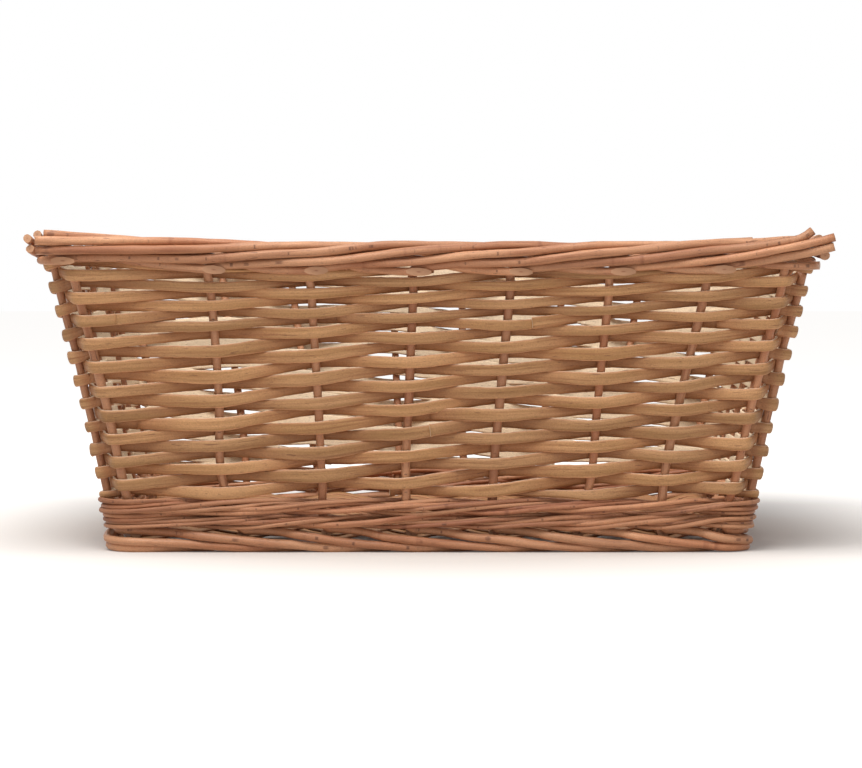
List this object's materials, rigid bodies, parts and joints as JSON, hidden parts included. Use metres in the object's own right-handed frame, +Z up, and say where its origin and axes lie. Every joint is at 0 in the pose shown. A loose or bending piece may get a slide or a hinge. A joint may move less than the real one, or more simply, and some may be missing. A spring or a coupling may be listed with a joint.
{
  "type": "wicker basket",
  "caption": "Low oblong wicker basket with flaring woven willow walls, a roped top border with cut ends at the corners, and a rolled foot.",
  "frame": {"origin": "middle of the basket on the surface that it stands on", "axes": "+X along the basket's length, to the right seen from the front; +Y along its depth, towards the back; +Z up"},
  "size_m": [0.4, 0.3, 0.1609],
  "materials": {
    "round_willow": "buff willow rods, boiled and peeled, lightly varnished",
    "split_willow": "split and shaved willow skeins with fine lengthwise grain"
  },
  "bodies": {
    "root": {"base_sticks": "round_willow", "base_weavers_a": "split_willow", "base_weavers_b": "split_willow", "corner_rods_back_left": "round_willow", "corner_rods_back_right": "round_willow", "corner_rods_front_left": "round_willow", "corner_rods_front_right": "round_willow", "siding_row_01": "split_willow", "siding_row_02": "split_willow", "siding_row_03": "split_willow", "siding_row_04": "split_willow", "siding_row_05": "split_willow", "siding_row_06": "split_willow", "siding_row_07": "split_willow", "siding_row_08": "split_willow", "siding_row_09": "split_willow", "siding_row_10": "split_willow", "siding_row_11": "split_willow", "siding_row_12": "split_willow", "siding_row_13": "split_willow", "siding_row_14": "split_willow", "siding_row_15": "split_willow", "siding_row_16": "split_willow", "siding_row_17": "split_willow", "siding_row_18": "split_willow", "siding_row_19": "split_willow", "siding_row_20": "split_willow", "stake_back_1": "round_willow", "stake_back_2": "round_willow", "stake_back_3": "round_willow", "stake_back_4": "round_willow", "stake_back_5": "round_willow", "stake_back_6": "round_willow", "stake_back_7": "round_willow", "stake_back_8": "round_willow", "stake_front_1": "round_willow", "stake_front_2": "round_willow", "stake_front_3": "round_willow", "stake_front_4": "round_willow", "stake_front_5": "round_willow", "stake_front_6": "round_willow", "stake_front_7": "round_willow", "stake_front_8": "round_willow", "stake_left_1": "round_willow", "stake_left_2": "round_willow", "stake_left_3": "round_willow", "stake_left_4": "round_willow", "stake_left_5": "round_willow", "stake_left_6": "round_willow", "stake_right_1": "round_willow", "stake_right_2": "round_willow", "stake_right_3": "round_willow", "stake_right_4": "round_willow", "stake_right_5": "round_willow", "stake_right_6": "round_willow", "wale_rods_1": "round_willow", "wale_rods_2": "round_willow", "wale_rods_3": "round_willow"}
  },
  "joints": []
}
